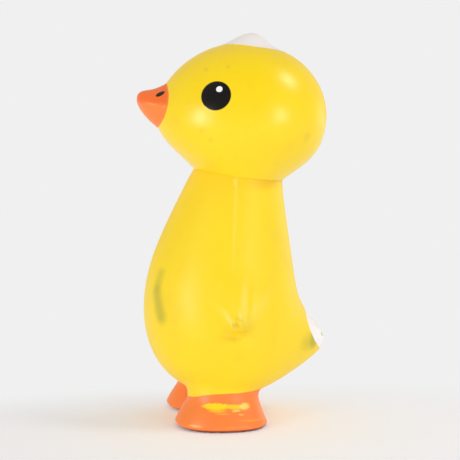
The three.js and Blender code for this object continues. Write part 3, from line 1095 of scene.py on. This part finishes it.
@dataclass
class HeadCasting:
    """The head with its beak and crown peak.

    Lengths are in millimetres. A waver is the size of its clouds and its amount.
    """

    seam: NeckSeam
    finish: VinylFinish
    neck: NeckReach = NeckReach(reach=-4.0, inner=15.0, narrow=(0.86, 0.77), back=0.5)
    voxel: float = 0.7
    passes: int = 16
    eye_softness: float = 0.03
    eye: Spot = Spot((23.6, -10.3, 135.7), (6.15, 6.15, 6.0))
    glint: Spot = Spot((23.6, -8.98, 138.3), (1.3, 1.3, 1.25))
    nostril: Spot = Spot((6.24, -30.65, 136.16), (1.1, 0.95, 2.1), (-0.16, 0.87, 0.46))
    beak_ridge: Stroke = Stroke((-38.0, 132.9), (-29.6, 131.6), (0.35, 0.3), (1.5, 1.5))
    beak_flank: float = 3.0
    beak_field: Spot = Spot((6.0, -34.0, 132.5), (8.0, 7.5, 5.0))
    beak_middle: float = 132.6
    beak_blend: float = 0.8
    beak_dish: Spot = Spot((0.0, -33.5, 139.0), (9.0, 5.5, 4.5))
    beak_dish_depth: float = 0.5
    beak_paint_edge: float = -27.5
    beak_paint_height: float = 138.0
    beak_paint_bend: float = 0.0153
    beak_paint_softness: float = 0.2
    beak_waver: Pair = (4.0, 0.4)
    crown_paint: Spot = Spot((0.0, -0.6, 56.0), (11.2, 12.75, 40.0))
    crown_softness: float = 0.02
    crown_waver: Pair = (6.0, 0.04)
    crown_over_seam: float = 20.0
    guards: tuple[Guard, ...] = (
        Guard(Spot((0.0, -36.0, 131.5), (14.0, 9.0, 12.0)), 3),
        Guard(Spot((0.0, -32.0, 131.0), (14.0, 8.0, 14.0)), 6),
        Guard(Spot((0.0, 9.0, 161.0), (8.0, 8.0, 4.0)), 8),
    )
    marks: tuple[Mark, ...] = (
        Mark(Spot((22.4, -16.0, 121.8), (1.3, 1.0, 0.9)), Tint.SOIL, 0.2, 0.9, 0.8),
        Mark(Spot((23.2, -12.4, 117.8), (1.3, 1.0, 1.2), (0.0, 0.5, -0.8)), Tint.SOIL, 0.25, 0.9, 0.8),
        Mark(Spot((22.1, 27.1, 119.4), (1.5, 1.3, 1.6)), Tint.SOIL, 0.18, 0.9, 0.8),
        Mark(Spot((16.1, -13.3, 146.0), (1.1, 1.0, 1.0)), Tint.SOIL, 0.2, 0.9, 0.8),
        Mark(Spot((19.8, -4.8, 147.0), (1.1, 0.8, 0.8)), Tint.SOIL, 0.2, 0.9, 0.8),
    )

    def build(self) -> bpy.types.Object:
        """Makes the casting's skin.

        Returns:
            The finished piece.
        """
        skin = CastSkin("head")
        skin.draw_out(self.seam, self.neck)
        skin.remesh(self.voxel)
        skin.smooth(self.passes, self.guards)
        skin.trim(self.seam.world((0.0, 0.0, self.seam.closed_half_gap)), -self.seam.axis)
        skin.dish(self.beak_dish, self.beak_dish_depth)
        skin.divide(self.beak_field)
        skin.carve([self.beak_ridge], self.beak_flank)
        piece = skin.finished("head_casting")
        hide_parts("head")
        dress(piece, self.material(), "head")
        return piece

    def material(self) -> bpy.types.Material:
        """Paints and marks the head's vinyl.

        Returns:
            The material.
        """
        coat = VinylCoat("head_vinyl", self.finish)
        graph = coat.graph
        coat.soil(self.marks)
        # The top half of the beak is painted a darker, redder orange: painted shade on the facet that faces
        # up.
        shaded_top = graph.above(graph.z, self.beak_middle, self.beak_blend)
        orange = graph.mix_colour(shaded_top, coat.orange(), Tint.SHADED_ORANGE)
        coat.paint(self.beak(graph), orange, self.finish.paint_sheen)
        coat.paint(self.crown(graph), Tint.WHITE, self.finish.paint_sheen)
        for shape, tint in ((self.nostril, Tint.BLACK), (self.eye, Tint.BLACK), (self.glint, Tint.GLINT)):
            mask = graph.below(graph.outside(shape, Side.BOTH), 1.0, self.eye_softness)
            coat.paint(mask, tint, self.finish.gloss_paint_sheen)
        return coat.finished()

    def beak(self, graph: PaintGraph) -> Socket:
        """Where the beak is painted: before an edge that bends forwards below.

        Args:
            graph: The head's node tree.

        Returns:
            1 where the paint is.
        """
        drop = graph.math("SUBTRACT", graph.z, self.beak_paint_height)
        bend = graph.bend(drop, self.beak_paint_bend)
        ahead = graph.total(graph.y, bend, graph.waver(*self.beak_waver))
        return graph.below(ahead, self.beak_paint_edge, self.beak_paint_softness)

    def crown(self, graph: PaintGraph) -> Socket:
        """Where the crown is painted: in a round field about the peak.

        Args:
            graph: The head's node tree.

        Returns:
            1 where the paint is.
        """
        centre = self.seam.world(self.crown_paint.centre) / MM
        peak = Spot(tuple(centre), self.crown_paint.radii, tuple(self.seam.axis))
        distance = graph.total(graph.outside(peak), graph.waver(*self.crown_waver))
        shape = graph.below(distance, 1.0, self.crown_softness)
        lowest = self.seam.centre.z / MM + self.crown_over_seam
        return graph.math("MULTIPLY", shape, graph.math("GREATER_THAN", graph.z, lowest))


@dataclass
class NeckPlug:
    """The hidden tube with a bead that holds the head in the body. Lengths in millimetres."""

    seam: NeckSeam
    radius: float = 12.5
    wall: float = 2.35
    root: float = 1.2
    neck_wall: float = 2.6
    clearance: float = 0.35
    bead_height: float = 1.4
    bead_length: float = 3.2
    bead_lead: float = 1.1
    bead_catch: float = 0.8
    sides: int = 64

    def profile(self) -> list[Pair]:
        """Works out the tube's section.

        Returns:
            The section's corners, each as its radius and its height over the seam.
        """
        top = -self.seam.half_gap - self.neck_wall - self.clearance
        bottom = top - self.bead_length
        bore = self.radius - self.wall
        bead = self.radius + self.bead_height
        return [
            (bore, self.root),
            (bore, bottom),
            (self.radius, bottom),
            (bead, bottom + self.bead_lead),
            (bead, top - self.bead_catch),
            (self.radius, top),
            (self.radius, self.root),
        ]

    def build(self, material: bpy.types.Material) -> bpy.types.Object:
        """Spins the section into the tube.

        Args:
            material: The head's vinyl.

        Returns:
            The finished piece.
        """
        mesh = bmesh.new()
        verts = [mesh.verts.new((radius * MM, 0.0, height * MM)) for radius, height in self.profile()]
        edges = [mesh.edges.new((verts[index - 1], verts[index])) for index in range(len(verts))]
        bmesh.ops.spin(
            mesh,
            geom=[*verts, *edges],
            cent=(0.0, 0.0, 0.0),
            axis=(0.0, 0.0, 1.0),
            angle=math.tau,
            steps=self.sides,
            use_merge=True,
        )
        bmesh.ops.recalc_face_normals(mesh, faces=mesh.faces)
        bmesh.ops.transform(mesh, matrix=self.seam.lean.to_4x4(), verts=mesh.verts)
        bmesh.ops.translate(mesh, vec=self.seam.centre, verts=mesh.verts)
        piece = add_mesh("neck_plug", mesh)
        dress(piece, material, "head")
        return piece


@dataclass(frozen=True)
class SoftLamp:
    """A square soft light, aimed at the figure."""

    name: str
    towards: Triple
    distance: float
    size: float
    power: float


@dataclass
class Studio:
    """The pale floor, the soft light and the camera. Lengths in metres."""

    aim: Triple = (0.0, -0.00095, 0.0791)
    azimuth: float = 81.0
    camera_distance: float = 0.557
    camera_height: float = 0.1454
    lens: float = 104.53
    sensor: float = 36.0
    floor_radius: float = 3.0
    floor_sides: int = 96
    floor_middle: Triple = (0.05, -0.01, 0.0)
    floor_spread: Triple = (0.11, 0.25, 1.0)
    floor_clear: float = 0.4
    floor_glow: float = 0.16
    ambient: float = 0.82
    ambient_above: float = 0.42
    sheen_light: float = 0.85
    sheen_shade: float = 0.12
    room: Triple = (0.97, -0.15, 0.2)
    room_edge: float = 0.8
    lamp_aim: Triple = (0.0, 0.0, 0.11)
    lamps: tuple[SoftLamp, ...] = (
        SoftLamp("front_light", (0.60, -0.80, 0.05), 0.9, 0.24, 2.1),
        SoftLamp("back_light_low", (0.83, 0.55, 0.05), 0.9, 0.22, 1.2),
        SoftLamp("back_light_high", (0.27, 0.67, 0.69), 0.9, 0.25, 1.6),
        SoftLamp("rim_light", (-0.45, 0.89, -0.05), 0.9, 0.4, 0.38),
    )

    def build(self) -> None:
        """Makes the whole studio."""
        bpy.context.scene.view_settings.view_transform = "Standard"
        self.make_camera()
        self.make_world()
        self.make_floor()
        for lamp in self.lamps:
            self.make_lamp(lamp)

    def make_camera(self) -> None:
        """Puts the camera at the photograph's viewing angle."""
        angle = math.radians(self.azimuth)
        aim = Vector(self.aim)
        rise = self.camera_height - aim.z
        back = Vector((math.sin(angle), -math.cos(angle), 0.0)) * self.camera_distance
        place = aim + back + Vector((0.0, 0.0, rise))
        data = bpy.data.cameras.new("camera")
        data.lens = self.lens
        data.sensor_width = self.sensor
        camera = add_object("camera", data)
        camera.location = place
        camera.rotation_euler = (aim - place).to_track_quat("-Z", "Y").to_euler()
        bpy.context.scene.camera = camera

    def make_world(self) -> None:
        """Lights everything softly from all round, against a plain pale backdrop.

        What the vinyl mirrors is pale at the sides and at the back, and darker towards the room in front.
        """
        world = bpy.data.worlds.new("studio")
        graph = NodeGraph(world)
        direction = graph.node("ShaderNodeTexCoord").outputs["Generated"]
        height = graph.split(direction)[2]
        ambient = graph.ramp(height, (0.0, self.ambient), (1.0, self.ambient_above), smooth=False)
        facing = graph.vector("DOT_PRODUCT", direction, tuple(Vector(self.room).normalized()))
        sheen = graph.ramp(facing, (0.0, self.sheen_light), (self.room_edge, self.sheen_shade))
        light = graph.result("ShaderNodeBackground", {"Color": Tint.LIGHT, "Strength": ambient})
        mirrored = graph.result("ShaderNodeBackground", {"Color": Tint.MIRRORED, "Strength": sheen})
        backdrop = graph.result("ShaderNodeBackground", {"Color": Tint.BACKDROP})
        path = graph.node("ShaderNodeLightPath").outputs
        lit = graph.mix_shader(path["Is Glossy Ray"], light, mirrored)
        seen = graph.math("MAXIMUM", path["Is Camera Ray"], path["Is Transmission Ray"])
        graph.show("ShaderNodeOutputWorld", graph.mix_shader(seen, lit, backdrop))
        bpy.context.scene.world = world

    def make_floor(self) -> None:
        """Makes the floor, which is lost in the backdrop away from the figure."""
        mesh = bmesh.new()
        bmesh.ops.create_circle(mesh, cap_ends=True, radius=self.floor_radius, segments=self.floor_sides)
        floor = add_mesh("floor", mesh)
        paper = bpy.data.materials.new("floor_paper")
        graph = NodeGraph(paper)
        place = graph.node("ShaderNodeTexCoord").outputs["Object"]
        away = graph.out_of(place, self.floor_middle, self.floor_spread)
        matt = graph.result("ShaderNodeBsdfDiffuse", {"Color": Tint.FLOOR})
        glow = graph.result("ShaderNodeEmission", {"Strength": self.floor_glow})
        near = graph.result("ShaderNodeAddShader", {0: matt, 1: glow})
        backdrop = graph.result("ShaderNodeEmission", {"Color": Tint.BACKDROP})
        lost = graph.fade(away, 1.0, self.floor_clear)
        graph.show("ShaderNodeOutputMaterial", graph.mix_shader(lost, near, backdrop))
        floor.data.materials.append(paper)

    def make_lamp(self, lamp: SoftLamp) -> None:
        """Puts up one soft light.

        Args:
            lamp: Its place, size and power.
        """
        data = bpy.data.lights.new(lamp.name, "AREA")
        data.size = lamp.size
        data.energy = lamp.power
        aim = Vector(self.lamp_aim)
        towards = Vector(lamp.towards).normalized()
        light = add_object(lamp.name, data)
        light.location = aim + towards * lamp.distance
        light.rotation_euler = (-towards).to_track_quat("-Z", "Y").to_euler()
        light.visible_camera = False


def main() -> None:
    """Builds the figure's castings, its plug and the studio, and reports each piece."""
    logging.basicConfig(level=logging.INFO, format="%(message)s")
    seam = NeckSeam.from_record()
    body = BodyCasting(seam, VinylFinish(sheen=0.43)).build()
    head = HeadCasting(seam, VinylFinish(sheen=0.3)).build()
    plug = NeckPlug(seam).build(head.data.materials[0])
    for piece in (body, head, plug):
        log.info("%s: %d faces", piece.name, len(piece.data.polygons))
    Studio().build()


if __name__ == "__main__":
    main()
